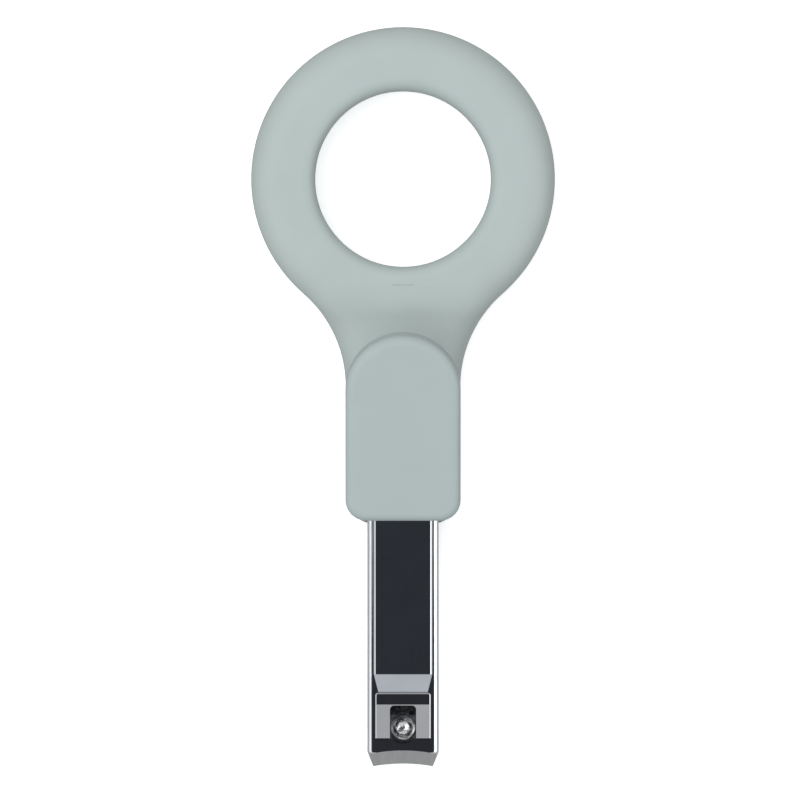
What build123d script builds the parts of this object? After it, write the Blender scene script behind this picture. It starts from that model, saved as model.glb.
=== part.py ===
"""Lever nail clipper with a ring handle, lying on its back with the jaws toward -Y.

Millimetres.  The origin is under the middle of the whole outline, on the table.
"""
import os
from math import atan2, cos, degrees, radians, sin, sqrt, tan

from build123d import *

os.makedirs("parts", exist_ok=True)

# Ring, web and neck of the handle
ring_radius = 21.7
hole_radius = 12.55
web_radius = 17.6
neck_half = 8.2
neck_length = 49.4
neck_corner = 4.5
ring_height = 11.2
neck_height = 8.8
ramp_start = 14.8
ramp_end = 24.0
top_round = 4.3
bottom_round = 3.7
hole_round = 2.0
wall = 1.8
parting = 4.1
seam_depth = 0.14
seam_width = 0.18
jaw_reach = 83.9
ring_y = (jaw_reach - ring_radius) / 2
cavity_end = 23.5

# Moulded pegs and sockets that join the two shells
peg_circle = 17.1
peg_angles = (90, 20, 160, 232, 308)
peg_radius = 1.0
peg_top = 7.0
peg_fit = 0.03
post_radius = 2.1

# Channel that holds the two steel arms
arm_plane = 5.6
channel_half = 5.45
channel_back = 27.2
channel_knee = 37.0
channel_floor = 3.9
channel_roof = 7.3
mouth_floor = 3.2
mouth_roof = 8.0
mouth_round = 0.4

# Moulding tick on the front of the web
tick_reach = 15.2
tick_length = 3.0
tick_width = 0.25
tick_depth = 0.12

# Sprung arms
arm_sheet = 1.2
arm_half = 5.1
arm_back = 27.5
arm_lap = 36.5
arm_lift = 3.0
lift_end = 72.5
lap_slope = 0.021
jaw_half_gap = 0.75
jaw_half = 4.25
jaw_taper = 81.8
jaw_angle = 61.0
jaw_land = 0.5
jaw_bevel = 30.0
jaw_hollow = 27.0
jaw_recess = 0.35
jaw_bend_outer = 0.45
jaw_bend_inner = 0.8
arm_corner = 1.6
arm_edge = 0.85
pin_reach = 78.3
upper_hole = 2.3
lower_hole = 1.82

# Eyelet through the back of the arms, on its moulded peg
eyelet_reach = 31.0
eyelet_bore = 0.9
eyelet_tube = 1.3
eyelet_flange = 2.2
eyelet_lip = 0.35
eyelet_hole = 1.42

# Pivot pin
pin_rod = 1.75
pin_neck = 1.1
ball_radius = 1.75
ball_above_arm = 2.6
shoulder_drop = 2.8
head_radius = 2.6
head_height = 0.75
ball_flat = 1.05
nub_radius = 0.95
nub_dome = 1.3

# Lever
lever_sheet = 1.3
lever_half = 4.18
fork_half = 3.95
fork_angle = 13.0
fork_tip = 80.1
fork_drop = 1.8
lip = 0.6
lip_half = 1.3
seat_half = 1.87
seat_back = 75.15
seat_corner = 0.6
neck_slot_back = 76.15
seat_floor_end = 76.5
foot_gap = 0.03
plate_back = 73.35
plate_corner = 0.35
plate_round = 0.2
waist_half = 3.5
waist_start = 70.6
slope_end = 74.2
heel_reach = 72.5
knee_reach = 70.25
knee_rise = 1.17
lever_angle = 13.9
lever_length = 46.5
lever_edge = 0.35
fold_round = 0.6
pad_holes = (28.8, 41.3)
pad_hole_radius = 1.5

# Thumb pad
pad_front = 22.62
pad_back = 49.75
pad_half = 8.2
pad_corner = 3.0
pad_under = 0.7
pad_over = 1.8
pad_edge = 1.3
base_edge = 0.6
pad_peg = 1.45
pad_peg_top = 2.3


def along(reach):
    """Y of a point that lies `reach` in front of the ring centre."""
    return ring_y - reach


def save(piece, name):
    """Label one finished piece and write it."""
    piece.part.label = name
    export_step(piece.part, f"parts/{name}.step")


standing = (Align.CENTER, Align.CENTER, Align.MIN)
hanging = (Align.CENTER, Align.CENTER, Align.MAX)
arm_top = arm_plane + arm_lift + arm_sheet
ball_z = arm_top + ball_above_arm
foot_z = arm_top + foot_gap
pin_y = along(pin_reach)


# ---------------------------------------------------------------- handle
def handle_plan(inset):
    """Ring, web and neck seen from above, drawn `inset` inside the outer faces."""
    web_x = neck_half + web_radius
    join = ring_radius + web_radius
    web_y = ring_y - sqrt(join**2 - web_x**2)
    rise = degrees(atan2(ring_y - web_y, web_x))
    front = along(neck_length) + inset
    with BuildSketch() as plan:
        with BuildLine():
            web = CenterArc((web_x, web_y), web_radius + inset, 180 - rise, rise)
            Polyline(web @ 1, (neck_half - inset, front), (0, front), (0, ring_y), web @ 0)
        make_face()
        mirror(about=Plane.YZ)
        fillet(plan.vertices().group_by(Axis.Y)[0].filter_by(off_centre), neck_corner - inset)
        with Locations((0, ring_y)):
            Circle(ring_radius - inset)
            Circle(hole_radius + inset, mode=Mode.SUBTRACT)
    return plan.sketch


def off_centre(vertex):
    """True for the two corners, and not for the join on the centre line."""
    return abs(vertex.X) > 1


def handle_side(inset):
    """Side view: full height at the ring, a smooth ramp, and a lower neck."""
    high = ring_height - inset
    low = neck_height - inset
    middle = (along((ramp_start + ramp_end) / 2), (high + low) / 2)
    back = along(-ring_radius) + 1
    front = along(neck_length) - 1
    with BuildSketch() as side:
        with BuildLine():
            crest = TangentArc((along(ramp_start), high), middle, tangent=(-1, 0))
            foot = TangentArc(middle, (along(ramp_end), low), tangent=crest % 1)
            Polyline(foot @ 1, (front, low), (front, inset), (back, inset), (back, high), crest @ 0)
        make_face()
    return side.sketch


def handle_solid(inset):
    """Rounded solid of the whole handle, `inset` inside the outer faces."""
    with BuildPart() as solid:
        with BuildSketch():
            add(handle_plan(inset))
        extrude(amount=ring_height)
        with BuildSketch(Plane.YZ):
            add(handle_side(inset))
        extrude(amount=ring_radius + 1, both=True, mode=Mode.INTERSECT)
        rims = solid.faces().filter_by(is_wall).edges().filter_by(Axis.Z, reverse=True)
        outer = rims.filter_by(lambda rim: not around_hole(rim))
        top = outer.filter_by(lambda rim: rim.center().Z > parting)
        base = outer.filter_by(lambda rim: rim.center().Z < parting)
        fillet(top, top_round - inset)
        fillet(base, bottom_round - inset)
        if inset == 0:
            fillet(solid.edges().filter_by(GeomType.CIRCLE).filter_by(around_hole), hole_round)
    return solid.part


def is_wall(face):
    """True for an upright face."""
    return abs(face.normal_at().Z) < 0.001


def around_hole(rim):
    """True for the edges at the finger hole."""
    start = rim @ 0
    return sqrt(start.X**2 + (start.Y - ring_y) ** 2) < hole_radius + wall + 1


def peg_places():
    """Places of the moulded pegs around the ring."""
    return [
        (peg_circle * cos(radians(a)), ring_y + peg_circle * sin(radians(a))) for a in peg_angles
    ]


with BuildPart() as cavity:
    add(handle_solid(wall))
    with Locations((0, along(cavity_end), 0)):
        Box(
            4 * ring_radius,
            2 * neck_length,
            4 * ring_height,
            align=(Align.CENTER, Align.MAX, Align.CENTER),
            mode=Mode.SUBTRACT,
        )

with BuildPart() as channel:
    with BuildSketch(Plane.YZ):
        with BuildLine():
            Polyline(
                (along(channel_back), channel_floor),
                (along(channel_knee), channel_floor),
                (along(neck_length + 1), mouth_floor),
                (along(neck_length + 1), mouth_roof),
                (along(channel_knee), channel_roof),
                (along(channel_back), channel_roof),
                close=True,
            )
        make_face()
    extrude(amount=channel_half, both=True)
    fillet(channel.edges().filter_by(Axis.Z).group_by(Axis.Y)[-1], mouth_round)

with BuildPart() as seam:
    with BuildSketch(Plane.XY.offset(parting)):
        add(handle_plan(-seam_depth))
        add(handle_plan(seam_depth), mode=Mode.SUBTRACT)
    extrude(amount=seam_width / 2, both=True)

with BuildPart() as handle:
    add(handle_solid(0))
    add(cavity.part, mode=Mode.SUBTRACT)
    add(seam.part, mode=Mode.SUBTRACT)

with BuildPart() as front_shell:
    add(handle.part)
    split(bisect_by=Plane.XY.offset(parting), keep=Keep.TOP)
    with BuildSketch(Plane.XY.offset(parting)):
        with Locations(*peg_places()):
            Circle(post_radius)
    extrude(amount=ring_height - wall / 2 - parting)
    with BuildSketch(Plane.XY.offset(parting)):
        with Locations(*peg_places()):
            Circle(peg_radius + peg_fit)
    extrude(amount=peg_top + peg_fit - parting, mode=Mode.SUBTRACT)
    add(channel.part, mode=Mode.SUBTRACT)
    with BuildSketch(Plane.XY.offset(ring_height - tick_depth)):
        with Locations((0, along(tick_reach))):
            SlotOverall(tick_length, tick_width)
    extrude(amount=1, mode=Mode.SUBTRACT)

with BuildPart() as back_shell:
    add(handle.part)
    split(bisect_by=Plane.XY.offset(parting), keep=Keep.BOTTOM)
    with BuildSketch(Plane.XY.offset(wall / 2)):
        with Locations(*peg_places()):
            Circle(post_radius)
    extrude(amount=parting - wall / 2)
    with BuildSketch(Plane.XY.offset(parting)):
        with Locations(*peg_places()):
            Circle(peg_radius)
    extrude(amount=peg_top - parting)
    add(channel.part, mode=Mode.SUBTRACT)
    with BuildSketch(Plane.XY.offset(channel_floor)):
        with Locations((0, along(eyelet_reach))):
            Circle(eyelet_bore)
    extrude(amount=channel_roof - channel_floor)

save(front_shell, "handle_front_shell")
save(back_shell, "handle_back_shell")


# ---------------------------------------------------------------- arms
def long_edges(strip, half):
    """The upper long edges of a bent strip that is 2 * half wide."""
    upper = strip.faces().filter_by(lambda face: face.normal_at().Z > 0.3)
    return upper.edges().filter_by(
        lambda rim: min(abs((rim @ 0).X), abs((rim @ 1).X)) > half - 0.01
        and abs((rim @ 0).X - (rim @ 1).X) < half
    )


def arm_blank():
    """Upper arm without its pin hole: flat lap, rising sheet, curled and ground jaw."""
    low = arm_plane
    lift = arm_plane + arm_lift
    edge_z = arm_plane + jaw_half_gap
    run = lift_end - arm_lap
    slope = tan(radians(jaw_angle))
    crown = jaw_reach - (arm_top - edge_z) / slope
    inside = arm_sheet / sin(radians(jaw_angle))
    land = jaw_reach - jaw_land
    # the ground bevel behind the land meets the inside of the curl
    bevel = tan(radians(jaw_bevel))
    cut = (inside - jaw_land) / (1 / slope + 1 / bevel)
    bend = jaw_reach - (lift - edge_z) / slope - inside
    with BuildPart() as arm:
        with BuildSketch(Plane.YZ) as side:
            with BuildLine():
                under = Bezier(
                    (along(arm_lap), low),
                    (along(arm_lap + run / 3), low + lap_slope * run / 3),
                    (along(lift_end - run / 3), lift),
                    (along(lift_end), lift),
                )
                over = Bezier(
                    (along(lift_end), lift + arm_sheet),
                    (along(lift_end - run / 3), lift + arm_sheet),
                    (along(arm_lap + run / 3), low + arm_sheet + lap_slope * run / 3),
                    (along(arm_lap), low + arm_sheet),
                )
                Polyline(
                    under @ 1,
                    (along(bend), lift),
                    (along(land - cut / bevel), edge_z + cut),
                    (along(land), edge_z),
                    (along(jaw_reach), edge_z),
                    (along(crown), arm_top),
                    over @ 0,
                )
                Polyline(
                    over @ 1,
                    (along(arm_back), low + arm_sheet),
                    (along(arm_back), low),
                    under @ 0,
                )
            make_face()
            fillet(side.vertices().sort_by_distance((along(crown), arm_top))[0], jaw_bend_outer)
            fillet(side.vertices().sort_by_distance((along(bend), lift))[0], jaw_bend_inner)
        extrude(amount=arm_half, both=True)
        fillet(long_edges(arm, arm_half), arm_edge)
        with BuildSketch() as plan:
            with BuildLine():
                Polyline(
                    (-arm_half, along(arm_back)),
                    (-arm_half, along(jaw_taper)),
                    (-jaw_half, along(jaw_reach)),
                    (jaw_half, along(jaw_reach)),
                    (arm_half, along(jaw_taper)),
                    (arm_half, along(arm_back)),
                    close=True,
                )
            make_face()
            fillet(plan.vertices().group_by(Axis.Y)[-1], arm_corner)
        extrude(amount=2 * ring_height, mode=Mode.INTERSECT)
        face_down = (0, -cos(radians(jaw_angle)), -sin(radians(jaw_angle)))
        out = jaw_hollow - jaw_recess
        hub_y = along(jaw_reach) - out * sin(radians(jaw_angle))
        hub_z = edge_z + out * cos(radians(jaw_angle))
        with Locations(Plane(origin=(0, hub_y, hub_z), x_dir=(1, 0, 0), z_dir=face_down)):
            Cylinder(jaw_hollow, 4 * arm_half, mode=Mode.SUBTRACT)
        with Locations((0, along(eyelet_reach), arm_plane)):
            Cylinder(eyelet_hole, 4 * arm_sheet, mode=Mode.SUBTRACT)
    return arm.part


with BuildPart() as upper_arm:
    add(arm_blank())
    with Locations((0, pin_y, arm_top)):
        Cylinder(upper_hole, 4 * arm_sheet, mode=Mode.SUBTRACT)

with BuildPart() as lower_arm:
    add(mirror(arm_blank(), about=Plane.XY.offset(arm_plane)))
    with Locations((0, pin_y, 2 * arm_plane - arm_top)):
        Cylinder(lower_hole, 4 * arm_sheet, mode=Mode.SUBTRACT)

with BuildPart() as eyelet:
    with Locations((0, along(eyelet_reach), channel_floor)):
        Cylinder(eyelet_tube, channel_roof - channel_floor, align=standing)
        Cylinder(eyelet_flange, eyelet_lip, align=standing)
    with Locations((0, along(eyelet_reach), channel_roof)):
        Cylinder(eyelet_flange, eyelet_lip, align=hanging)
    with Locations((0, along(eyelet_reach), arm_plane)):
        Cylinder(eyelet_bore, ring_height, mode=Mode.SUBTRACT)

save(upper_arm, "upper_arm")
save(lower_arm, "lower_arm")
save(eyelet, "rear_eyelet")


# ---------------------------------------------------------------- pivot pin
with BuildPart() as pin:
    rod_base = 2 * arm_plane - arm_top
    with Locations((0, pin_y, rod_base)):
        Cylinder(head_radius, head_height, align=hanging)
        Cylinder(pin_rod, ball_z - shoulder_drop - rod_base, align=standing)
        Cylinder(pin_neck, ball_z - rod_base, align=standing)
    with Locations((0, pin_y, ball_z)):
        Sphere(ball_radius)
    with Locations((0, pin_y, ball_z + ball_flat)):
        Box(2 * ball_radius, 2 * ball_radius, ball_radius, align=standing, mode=Mode.SUBTRACT)
    with Locations((0, pin_y, ball_z + ball_flat - sqrt(nub_dome**2 - nub_radius**2))):
        Sphere(nub_dome, arc_size1=0, align=standing)
    chamfer(pin.edges().group_by(Axis.Z)[0], head_height / 4)

save(pin, "pivot_pin")


# ---------------------------------------------------------------- lever
fork = radians(fork_angle)
tilt = radians(lever_angle)
fork_low = ball_z - fork_drop / cos(fork)
fork_root = pin_reach - (fork_low - foot_z) / tan(fork)
knee_z = foot_z + knee_rise
lever_plane = Plane(
    origin=(0, along(knee_reach), knee_z), x_dir=(1, 0, 0), z_dir=(0, -sin(tilt), cos(tilt))
)
fork_plane = Plane(
    origin=(0, pin_y, fork_low + lip / cos(fork)), x_dir=(1, 0, 0), z_dir=(0, sin(fork), cos(fork))
)

slope = knee_rise / (heel_reach - knee_reach)
heel = (along(heel_reach), foot_z)
knee = (along(knee_reach), knee_z)
strip_end = (knee[0] + lever_length * cos(tilt), knee[1] + lever_length * sin(tilt))
slope_foot = (along(slope_end), foot_z - (slope_end - heel_reach) * slope)


def top_side(low, thickness):
    """Upper side of a bent sheet whose lower side runs through the (Y, Z) points in `low`."""
    points = [Vector(*point) for point in low]
    rises = [(b - a).normalized().rotate(Axis.Z, 90) for a, b in zip(points, points[1:])]
    pairs = zip(points, [rises[0], *rises], [*rises, rises[-1]])
    mitred = [point + (p + q) * (thickness / (1 + p.dot(q))) for point, p, q in pairs]
    return [(point.X, point.Y) for point in mitred]


with BuildPart() as plate:
    under_plate = [
        (along(fork_tip), fork_low + (fork_tip - pin_reach) * tan(fork)),
        (along(fork_root), foot_z),
        (along(plate_back), foot_z),
    ]
    with BuildSketch(Plane.YZ):
        with BuildLine():
            Polyline(*under_plate, *reversed(top_side(under_plate, lever_sheet)), close=True)
        make_face()
    extrude(amount=fork_half, both=True)
    fillet(plate.edges().filter_by(Axis.Z).group_by(Axis.Y)[-1], plate_corner)
    top_rims = plate.faces().filter_by(lambda face: face.normal_at().Z > 0.3).edges()
    fillet(top_rims.filter_by(lambda rim: rim.length < 2 * fork_half - plate_corner), plate_round)

with BuildPart() as seat:
    seat_z = fork_low + lip / cos(fork)
    floor_z = seat_z - (pin_reach - seat_floor_end) * tan(fork)
    front_y = along(fork_tip) - lip
    with BuildSketch(Plane.YZ):
        with BuildLine():
            Polyline(
                (along(seat_back), floor_z),
                (along(seat_floor_end), floor_z),
                (front_y, seat_z + (pin_y - front_y) * tan(fork)),
                (front_y, ball_z),
                (along(seat_back), ball_z),
                close=True,
            )
        make_face()
    extrude(amount=seat_half, both=True)
    fillet(seat.edges().filter_by(Axis.Z).group_by(Axis.Y)[-1], seat_corner)

with BuildPart() as lever:
    upper = top_side([slope_foot, knee, strip_end], lever_sheet)
    with BuildSketch(Plane.YZ) as sheet:
        with BuildLine():
            Polyline((upper[0][0], foot_z), heel, knee, strip_end, *reversed(upper), close=True)
        make_face()
        for bend in (heel, knee, upper[1]):
            fillet(sheet.vertices().sort_by_distance(bend)[0], fold_round)
    extrude(amount=lever_half, both=True)
    fillet(long_edges(lever, lever_half), lever_edge)
    with BuildSketch() as plan:
        with BuildLine():
            Polyline(
                (waist_half, upper[0][0]),
                (waist_half, along(plate_back)),
                (lever_half, along(waist_start)),
                (lever_half, ring_y),
                (-lever_half, ring_y),
                (-lever_half, along(waist_start)),
                (-waist_half, along(plate_back)),
                (-waist_half, upper[0][0]),
                close=True,
            )
        make_face()
    extrude(amount=4 * ring_height, mode=Mode.INTERSECT)
    add(plate.part)
    add(seat.part, mode=Mode.SUBTRACT)
    with BuildSketch(fork_plane):
        with Locations((0, (pin_reach - neck_slot_back) / cos(fork) - lip_half)):
            Circle(lip_half)
            Rectangle(2 * lip_half, 4 * pin_rod, align=(Align.CENTER, Align.MAX))
    extrude(amount=2 * lip, both=True, mode=Mode.SUBTRACT)
    with BuildSketch(lever_plane):
        with Locations(*[(0, place) for place in pad_holes]):
            Circle(pad_hole_radius)
    extrude(amount=2 * lever_sheet, both=True, mode=Mode.SUBTRACT)

save(lever, "lever")


# ---------------------------------------------------------------- thumb pad
def pad_plan(inset):
    """Outline of the thumb pad along the strip: square front, round back."""
    half = pad_half - inset
    shoulder = pad_back - pad_half
    with BuildSketch() as plan:
        with Locations((0, shoulder)):
            Rectangle(2 * half, shoulder - pad_front - inset, align=(Align.CENTER, Align.MAX))
            fillet(plan.vertices().group_by(Axis.Y)[0], pad_corner - inset)
            Circle(half)
    return plan.sketch


with BuildPart() as pad_seam:
    with BuildSketch(lever_plane):
        add(pad_plan(-seam_depth))
        add(pad_plan(seam_depth), mode=Mode.SUBTRACT)
    extrude(amount=seam_width / 2, both=True)

with BuildPart() as pad_cover:
    with BuildSketch(lever_plane):
        add(pad_plan(0))
    extrude(amount=lever_sheet + pad_over)
    fillet(pad_cover.faces().sort_by(Axis((0, 0, 0), lever_plane.z_dir))[-1].edges(), pad_edge)
    with BuildSketch(lever_plane):
        with Locations((0, lever_length)):
            Rectangle(2 * lever_half, 2 * lever_length, align=(Align.CENTER, Align.MAX))
    extrude(amount=lever_sheet, mode=Mode.SUBTRACT)
    with BuildSketch(lever_plane):
        with Locations(*[(0, place) for place in pad_holes]):
            Circle(pad_peg + peg_fit)
    extrude(amount=pad_peg_top + peg_fit, mode=Mode.SUBTRACT)
    add(pad_seam.part, mode=Mode.SUBTRACT)

with BuildPart() as pad_base:
    with BuildSketch(lever_plane.offset(-pad_under)):
        add(pad_plan(0))
    extrude(amount=pad_under)
    fillet(pad_base.faces().sort_by(Axis((0, 0, 0), lever_plane.z_dir))[0].edges(), base_edge)
    with BuildSketch(lever_plane):
        with Locations(*[(0, place) for place in pad_holes]):
            Circle(pad_peg)
    extrude(amount=pad_peg_top)
    add(pad_seam.part, mode=Mode.SUBTRACT)

save(pad_cover, "thumb_pad_cover")
save(pad_base, "thumb_pad_base")
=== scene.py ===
import math

import bpy
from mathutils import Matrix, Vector


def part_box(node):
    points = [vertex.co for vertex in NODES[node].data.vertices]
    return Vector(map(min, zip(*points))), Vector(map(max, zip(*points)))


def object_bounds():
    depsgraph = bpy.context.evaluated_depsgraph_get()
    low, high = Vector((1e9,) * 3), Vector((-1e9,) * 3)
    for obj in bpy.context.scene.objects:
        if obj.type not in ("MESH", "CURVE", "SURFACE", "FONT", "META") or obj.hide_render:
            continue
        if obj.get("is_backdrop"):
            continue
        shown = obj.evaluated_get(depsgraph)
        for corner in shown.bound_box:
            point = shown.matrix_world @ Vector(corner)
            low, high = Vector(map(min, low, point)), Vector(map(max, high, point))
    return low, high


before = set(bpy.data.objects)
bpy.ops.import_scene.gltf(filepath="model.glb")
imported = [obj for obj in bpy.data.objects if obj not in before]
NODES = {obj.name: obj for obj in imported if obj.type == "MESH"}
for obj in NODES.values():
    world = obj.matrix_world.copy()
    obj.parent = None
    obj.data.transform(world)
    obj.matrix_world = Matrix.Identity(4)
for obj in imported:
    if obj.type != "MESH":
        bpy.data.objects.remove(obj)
cad_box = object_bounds()
MM = 0.001

# Depth of each kind of surface relief
GRAIN_DEPTH = 0.05 * MM
HAIRLINE_DEPTH = 0.03 * MM
SCORE_DEPTH = 0.07 * MM

# The lever's punched seat: its floor's drop from the top of the pin, its end behind the pin's middle,
# half its width, the slope at which its floor rises forward, and the band of painted shade
# from just below the floor to the top of its wall
SEAT_DROP = 2.69 * MM
SEAT_BACK = 3.17 * MM
SEAT_HALF_WIDTH = 1.89 * MM
SEAT_RISE = math.radians(13)
SEAT_BELOW = -0.3 * MM
SEAT_WALL = 0.47 * MM

# The ground part of the jaws, back from their tip, and the pin's head and nub, down from its top
JAW_LENGTH = 2.6 * MM
HEAD_HEIGHT = 2.9 * MM
NUB_HEIGHT = 0.4 * MM

# Colours, in linear light
SAGE = (0.406, 0.465, 0.45)
SAGE_DARK = (0.39, 0.449, 0.434)
# The thumb pad's sage is the handle's sage made darker: painted shade
SHADED_PAD_TONE = (0.374, 0.432, 0.426)
SHADED_PAD_MOTTLE = (0.36, 0.418, 0.412)
PLATE = (0.63, 0.645, 0.67)


# ---------------------------------------------------------------- node helpers
def new_material(name):
    """A new material with nothing but its shader and its output."""
    mat = bpy.data.materials.new(name)
    mat.use_nodes = True
    tree = mat.node_tree
    tree.nodes.clear()
    out = tree.nodes.new("ShaderNodeOutputMaterial")
    bsdf = tree.nodes.new("ShaderNodeBsdfPrincipled")
    tree.links.new(bsdf.outputs[0], out.inputs[0])
    return mat, tree, bsdf


def add_node(tree, kind, links=(), **settings):
    """One node; settings name its properties, or its inputs when they are given as "in_NAME"."""
    node = tree.nodes.new(kind)
    for key, value in settings.items():
        if key.startswith("in_"):
            node.inputs[key[3:].replace("_", " ")].default_value = value
        else:
            setattr(node, key, value)
    for source, socket in links:
        tree.links.new(source, node.inputs[socket])
    return node


def grey(value):
    """A neutral colour."""
    return (value, value, value)


def ramp(tree, source, stops):
    """A colour that follows a value: stops are (position, colour)."""
    node = tree.nodes.new("ShaderNodeValToRGB")
    tree.links.new(source, node.inputs[0])
    points = node.color_ramp.elements
    while len(points) < len(stops):
        points.new(0.5)
    for point, (place, colour) in zip(points, stops):
        point.position = place
        point.color = (*colour, 1)
    return node.outputs[0]


def noise(tree, coords, scale, detail=4.0, rough=0.55, stretch=(1, 1, 1)):
    """Fractal noise with `scale` cells to the metre, drawn out along an axis that is scaled down."""
    place = add_node(tree, "ShaderNodeMapping", [(coords, "Vector")], in_Scale=stretch)
    return add_node(
        tree, "ShaderNodeTexNoise", [(place.outputs[0], "Vector")],
        in_Scale=scale, in_Detail=detail, in_Roughness=rough,
    ).outputs["Fac"]


def scaled(tree, value, factor):
    """A value times a constant."""
    node = add_node(tree, "ShaderNodeMath", [(value, 0)], operation="MULTIPLY")
    node.inputs[1].default_value = factor
    return node.outputs[0]


def vector_step(tree, operation, vector, constant):
    """The node of a vector operation with a constant vector."""
    node = add_node(tree, "ShaderNodeVectorMath", [(vector, 0)], operation=operation)
    node.inputs[1].default_value = constant
    return node


def part_of(tree, vector, axis):
    """One coordinate of a vector."""
    return add_node(tree, "ShaderNodeSeparateXYZ", [(vector, "Vector")]).outputs[axis]


def sideways(tree, vector):
    """How far a vector reaches to either side of the middle plane."""
    across = part_of(tree, vector, "X")
    return add_node(tree, "ShaderNodeMath", [(across, 0)], operation="ABSOLUTE").outputs[0]


def rise(tree, value, start, end):
    """A mask that goes from 0 at `start` to 1 at `end`."""
    return add_node(
        tree, "ShaderNodeMapRange", [(value, "Value")], in_From_Min=start, in_From_Max=end
    ).outputs[0]


def both(tree, first, second):
    """A mask that holds where both masks do."""
    return add_node(
        tree, "ShaderNodeMath", [(first, 0), (second, 1)], operation="MULTIPLY"
    ).outputs[0]


def mix(tree, mask, outside, inside):
    """`outside` where the mask is 0 and `inside` where it is 1."""
    return add_node(
        tree, "ShaderNodeMix", [(mask, 0), (outside, "A"), (inside, "B")], data_type="RGBA"
    ).outputs["Result"]


# ---------------------------------------------------------------- materials
def soft_plastic(name, colour, darker):
    """Matte soft-touch plastic: faint mottling, a fine spark-eroded grain, uneven sheen."""
    mat, tree, bsdf = new_material(name)
    coords = add_node(tree, "ShaderNodeTexCoord").outputs["Object"]
    tone = ramp(tree, noise(tree, coords, 120, 3), [(0.3, darker), (0.7, colour)])
    rough = ramp(tree, noise(tree, coords, 260, 2), [(0.25, grey(0.5)), (0.75, grey(0.6))])
    grain = noise(tree, coords, 5200, 2, 0.6)
    bump = add_node(
        tree, "ShaderNodeBump", [(grain, "Height")], in_Strength=0.22, in_Distance=GRAIN_DEPTH
    )
    tree.links.new(tone, bsdf.inputs["Base Color"])
    tree.links.new(rough, bsdf.inputs["Roughness"])
    tree.links.new(bump.outputs[0], bsdf.inputs["Normal"])
    bsdf.inputs["Specular IOR Level"].default_value = 0.35
    return mat


def plated_sheet(tree, place, colour):
    """Colour, roughness and height of plated sheet: hazy hairlined faces and sheared sides."""
    coords = place.outputs["Object"]
    hazed = tuple(0.94 * channel for channel in colour)
    tone = ramp(tree, noise(tree, coords, 220, 3), [(0.3, hazed), (0.7, colour)])
    hair = noise(tree, coords, 1500, 4, 0.65, (1, 0.04, 1))
    polished = ramp(tree, hair, [(0.3, grey(0.05)), (0.75, grey(0.11))])
    # the cut sides are the faces that look straight sideways
    sheared = rise(tree, sideways(tree, place.outputs["Normal"]), 0.96, 0.99)
    drag = noise(tree, coords, 3200, 3, 0.6, (1, 1, 0.08))
    scored = ramp(tree, drag, [(0.3, grey(0.2)), (0.7, grey(0.42))])
    rough = mix(tree, sheared, polished, scored)
    height = mix(tree, sheared, hair, scaled(tree, drag, 5.0))
    return tone, rough, height


def metal_finish(tree, bsdf, tone, rough, height, strength, distance):
    """Connects a metal's colour, roughness and height to its shader, and returns its bump."""
    bump = add_node(
        tree, "ShaderNodeBump", [(height, "Height")], in_Strength=strength, in_Distance=distance
    )
    tree.links.new(tone, bsdf.inputs["Base Color"])
    tree.links.new(rough, bsdf.inputs["Roughness"])
    tree.links.new(bump.outputs[0], bsdf.inputs["Normal"])
    bsdf.inputs["Metallic"].default_value = 1.0
    return bump


def lever_steel(name, colour, seat):
    """Plated sheet with a punched seat painted dark as shade in the recess, and left unpolished.

    The seat's floor passes through the point `seat` and rises forward.
    """
    mat, tree, bsdf = new_material(name)
    place = add_node(tree, "ShaderNodeTexCoord")
    coords = place.outputs["Object"]
    tone, rough, height = plated_sheet(tree, place, colour)
    side = sideways(tree, coords)
    along = part_of(tree, coords, "Y")
    from_seat = vector_step(tree, "SUBTRACT", coords, seat).outputs[0]
    upright = (0, math.sin(SEAT_RISE), math.cos(SEAT_RISE))
    above = vector_step(tree, "DOT_PRODUCT", from_seat, upright).outputs["Value"]
    back = seat[1] + SEAT_BACK
    across = both(
        tree,
        rise(tree, side, SEAT_HALF_WIDTH + 0.02 * MM, SEAT_HALF_WIDTH - 0.02 * MM),
        rise(tree, along, back, back - 0.05 * MM),
    )
    deep = both(
        tree,
        rise(tree, above, SEAT_WALL + 0.05 * MM, SEAT_WALL),
        rise(tree, above, SEAT_BELOW - 0.1 * MM, SEAT_BELOW),
    )
    # the seat's darker tone is painted shade in the recess; its higher roughness is the unpolished
    # sheet
    punched = both(tree, across, deep)
    pits = noise(tree, coords, 1800, 3)
    seat_painted_shade = ramp(tree, pits, [(0.35, (0.05, 0.051, 0.055)), (0.7, (0.16, 0.16, 0.165))])
    dull_rough = ramp(tree, pits, [(0.35, grey(0.26)), (0.7, grey(0.36))])
    tone = mix(tree, punched, tone, seat_painted_shade)
    rough = mix(tree, punched, rough, dull_rough)
    metal_finish(tree, bsdf, tone, rough, height, 0.03, HAIRLINE_DEPTH)
    return mat


def cutting_steel(name, colour, jaw_y):
    """Plated sheet whose jaw faces, in front of jaw_y, are ground back to bare steel."""
    mat, tree, bsdf = new_material(name)
    place = add_node(tree, "ShaderNodeTexCoord")
    coords = place.outputs["Object"]
    tone, rough, height = plated_sheet(tree, place, colour)
    # the ground faces look forward, and the curl of the sheet behind them looks up
    ground = both(
        tree,
        rise(tree, part_of(tree, coords, "Y"), jaw_y, jaw_y - 0.1 * MM),
        rise(tree, part_of(tree, place.outputs["Normal"], "Y"), -0.62, -0.72),
    )
    lines = noise(tree, coords, 2600, 3, 0.7, (1, 0.08, 0.08))
    bare = ramp(tree, lines, [(0.3, (0.405, 0.417, 0.421)), (0.7, (0.478, 0.49, 0.494))])
    satin = ramp(tree, lines, [(0.3, grey(0.34)), (0.7, grey(0.38))])
    tone = mix(tree, ground, tone, bare)
    rough = mix(tree, ground, rough, satin)
    height = mix(tree, ground, height, lines)
    metal_finish(tree, bsdf, tone, rough, height, 0.08, HAIRLINE_DEPTH)
    return mat


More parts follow.
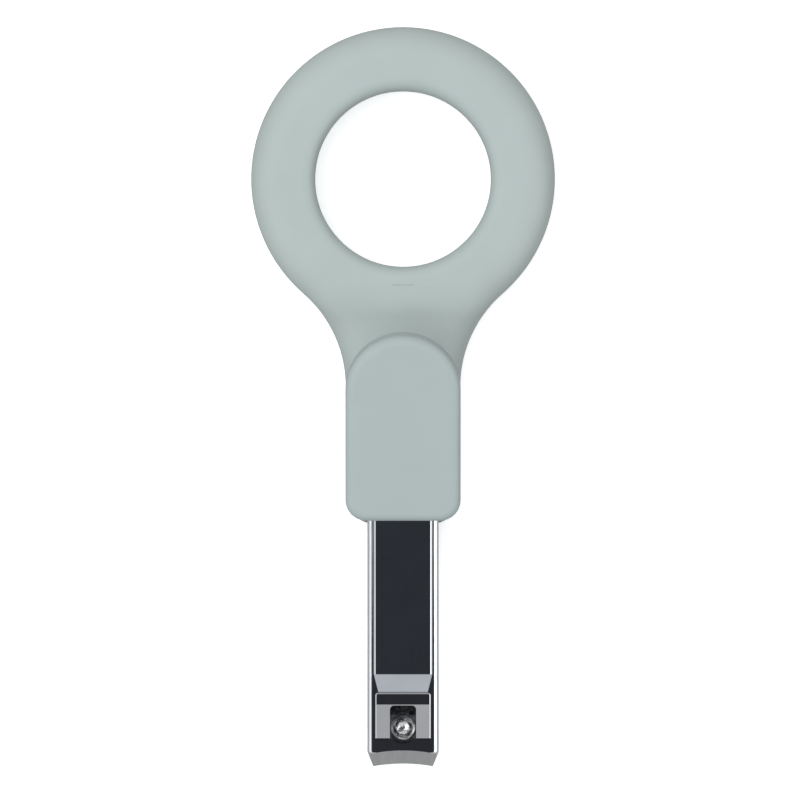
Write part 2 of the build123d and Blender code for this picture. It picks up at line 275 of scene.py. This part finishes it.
def turned_steel(name, axis, head_z, nub_z):
    """Bare steel turned about a vertical axis: the ball above head_z painted dark as shade, with
    lighter broken arcs on its tool marks, and a mottled painted highlight above nub_z.
    """
    mat, tree, bsdf = new_material(name)
    coords = add_node(tree, "ShaderNodeTexCoord").outputs["Object"]
    up = part_of(tree, coords, "Z")
    wobble = noise(tree, coords, 700, 3)

    # wandering tool marks, 0.42 mm apart going out from the axis and further apart along it
    from_axis = vector_step(tree, "SUBTRACT", coords, (*axis, 0)).outputs[0]
    drawn_out = vector_step(tree, "MULTIPLY", from_axis, (1, 1, 0.35)).outputs[0]
    reach = add_node(tree, "ShaderNodeVectorMath", [(drawn_out, 0)], operation="LENGTH")
    turns = scaled(tree, reach.outputs["Value"], 2 * math.pi / (0.42 * MM))
    drift = scaled(tree, wobble, 9.0)
    phase = add_node(tree, "ShaderNodeMath", [(turns, 0), (drift, 1)], operation="ADD")
    rings = add_node(tree, "ShaderNodeMath", [(phase.outputs[0], 0)], operation="SINE").outputs[0]
    # the bright ones are broken arcs, not whole rings
    scored = both(
        tree, rise(tree, rings, 0.55, 0.9), rise(tree, noise(tree, coords, 520, 2), 0.46, 0.56)
    )

    # the ball above head_z is painted dark as shade, with lighter arcs on its tool marks; the top
    # above nub_z gets a mottled painted highlight
    head = rise(tree, up, head_z, head_z + 0.3 * MM)
    cut = rise(tree, up, nub_z, nub_z + 0.04 * MM)
    clean = ramp(tree, wobble, [(0.3, (0.52, 0.52, 0.53)), (0.7, (0.6, 0.6, 0.62))])
    dark = ramp(tree, wobble, [(0.3, (0.13, 0.13, 0.14)), (0.7, (0.27, 0.27, 0.285))])
    bright = ramp(tree, wobble, [(0.3, grey(0.5)), (0.7, grey(0.8))])
    painted_highlight = ramp(tree, noise(tree, coords, 1100, 2), [(0.38, grey(0.2)), (0.52, grey(0.9))])
    body = mix(tree, head, clean, mix(tree, scored, dark, bright))
    tone = mix(tree, cut, body, painted_highlight)
    rough = ramp(tree, noise(tree, coords, 1500, 3), [(0.3, grey(0.16)), (0.7, grey(0.34))])
    pits = noise(tree, coords, 2400, 3)
    height = add_node(tree, "ShaderNodeMath", [(rings, 0), (pits, 1)], operation="ADD")
    bump = metal_finish(tree, bsdf, tone, rough, height.outputs[0], 1.0, SCORE_DEPTH)
    # the shaft is nearly smooth and the head is rough
    strength = add_node(
        tree, "ShaderNodeMapRange", [(head, "Value")], in_To_Min=0.1, in_To_Max=0.9
    )
    tree.links.new(strength.outputs[0], bump.inputs["Strength"])
    return mat


jaw_low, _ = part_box("upper_arm")
pin_low, pin_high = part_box("pivot_pin")
pin_axis = ((pin_low[0] + pin_high[0]) / 2, (pin_low[1] + pin_high[1]) / 2)
pin_top = pin_high[2]

sage = soft_plastic("sage_soft_plastic", SAGE, SAGE_DARK)
# the thumb pad gets a darker copy of the handle's plastic, as painted shade
pad_painted_shade = soft_plastic("sage_pad_painted_shade", SHADED_PAD_TONE, SHADED_PAD_MOTTLE)
lever_metal = lever_steel("lever_steel", PLATE, (0, pin_axis[1], pin_top - SEAT_DROP))
blade = cutting_steel("cutting_steel", PLATE, jaw_low[1] + JAW_LENGTH)
steel = turned_steel("turned_steel", pin_axis, pin_top - HEAD_HEIGHT, pin_top - NUB_HEIGHT)

PAINT = {
    "handle_front_shell": sage,
    "handle_back_shell": sage,
    "thumb_pad_cover": pad_painted_shade,
    "thumb_pad_base": pad_painted_shade,
    "upper_arm": blade,
    "lower_arm": blade,
    "lever": lever_metal,
    "pivot_pin": steel,
    "rear_eyelet": steel,
}
for name, mat in PAINT.items():
    data = NODES[name].data
    data.materials.clear()
    data.materials.append(mat)

# ---------------------------------------------------------------- floor
def pale_floor():
    """Nearly white paper with the faintest mottling, which glows a little to stay white."""
    mat, tree, bsdf = new_material("pale_floor")
    coords = add_node(tree, "ShaderNodeTexCoord").outputs["Object"]
    tone = ramp(tree, noise(tree, coords, 30, 2), [(0.3, grey(0.93)), (0.7, grey(0.95))])
    tree.links.new(tone, bsdf.inputs["Base Color"])
    bsdf.inputs["Roughness"].default_value = 0.8
    bsdf.inputs["Emission Color"].default_value = (1, 1, 1, 1)
    bsdf.inputs["Emission Strength"].default_value = 0.45
    return mat


FLOOR_SIZE = 3.0
bpy.ops.mesh.primitive_plane_add(size=FLOOR_SIZE, location=(0, 0, 0))
floor = bpy.context.object
floor.name = "floor"
floor.data.materials.append(pale_floor())
floor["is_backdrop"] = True
# the object takes its bounce light from the even lower half of the world instead
floor.visible_glossy = False
floor.visible_diffuse = False
floor.visible_shadow = False


# ---------------------------------------------------------------- light
def softbox(name, place, size, power):
    """A rectangular soft light aimed at the middle of the object."""
    data = bpy.data.lights.new(name, "AREA")
    data.shape = "RECTANGLE"
    data.size, data.size_y = size
    data.energy = power
    lamp = bpy.data.objects.new(name, data)
    lamp.visible_camera = False
    lamp.location = place
    middle = Vector((0, 0, 10 * MM))
    lamp.rotation_euler = (middle - Vector(place)).to_track_quat("-Z", "Y").to_euler()
    bpy.context.collection.objects.link(lamp)
    return lamp


def studio_world():
    """An even pale surround, below as well, with a dark patch overhead that leans to the jaws."""
    world = bpy.data.worlds.new("studio")
    world.use_nodes = True
    tree = world.node_tree
    tree.nodes.clear()
    out = tree.nodes.new("ShaderNodeOutputWorld")
    back = tree.nodes.new("ShaderNodeBackground")
    tree.links.new(back.outputs[0], out.inputs[0])
    sky = add_node(tree, "ShaderNodeTexCoord").outputs["Generated"]
    lean = math.radians(9)
    overhead = (0, -math.sin(lean), math.cos(lean))
    toward = vector_step(tree, "DOT_PRODUCT", sky, overhead).outputs["Value"]
    dome = ramp(
        tree, toward,
        [
            (0.3, grey(0.60)),
            (0.64, (0.67, 0.70, 0.75)),
            (0.82, grey(0.62)),
            (0.9, (0.045, 0.054, 0.066)),
            (0.96, (0.034, 0.036, 0.042)),
        ],
    )
    tree.links.new(dome, back.inputs["Color"])
    back.inputs["Strength"].default_value = 1.0
    return world


# side cards that show only in reflections, and a broad soft light that shows in none
card_left = softbox("card_left", (-0.9, -0.1, 0.5), (1.3, 0.7), 2.1)
card_right = softbox("card_right", (0.85, -0.15, 0.6), (1.1, 1.05), 5.6)
top_soft = softbox("top_soft", (-0.4, 0.12, 2.0), (1.7, 1.7), 36.0)
card_left.visible_diffuse = False
card_right.visible_diffuse = False
top_soft.visible_glossy = False
bpy.context.scene.world = studio_world()

# ---------------------------------------------------------------- camera
# straight down from far off; 800 pixels across, at 7 to the millimetre 6 mm above the floor
CAMERA_HEIGHT = 3.6
SCALE_HEIGHT = 6 * MM
SENSOR_WIDTH = 36
VIEW_WIDTH = 800 / 7.0 * MM
VIEW_CENTRE = (-0.43 * MM, -0.47 * MM)
camera_data = bpy.data.cameras.new("camera")
camera_data.sensor_width = SENSOR_WIDTH
camera_data.lens = SENSOR_WIDTH * CAMERA_HEIGHT / VIEW_WIDTH
camera_data.clip_end = 10
camera = bpy.data.objects.new("camera", camera_data)
camera.location = (*VIEW_CENTRE, CAMERA_HEIGHT + SCALE_HEIGHT)
bpy.context.collection.objects.link(camera)
bpy.context.scene.camera = camera
bpy.context.scene.view_settings.view_transform = "Standard"

boxes = {"cad": cad_box, "visual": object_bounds()}
boxes = {name: [list(map(float, corner)) for corner in box] for name, box in boxes.items()}
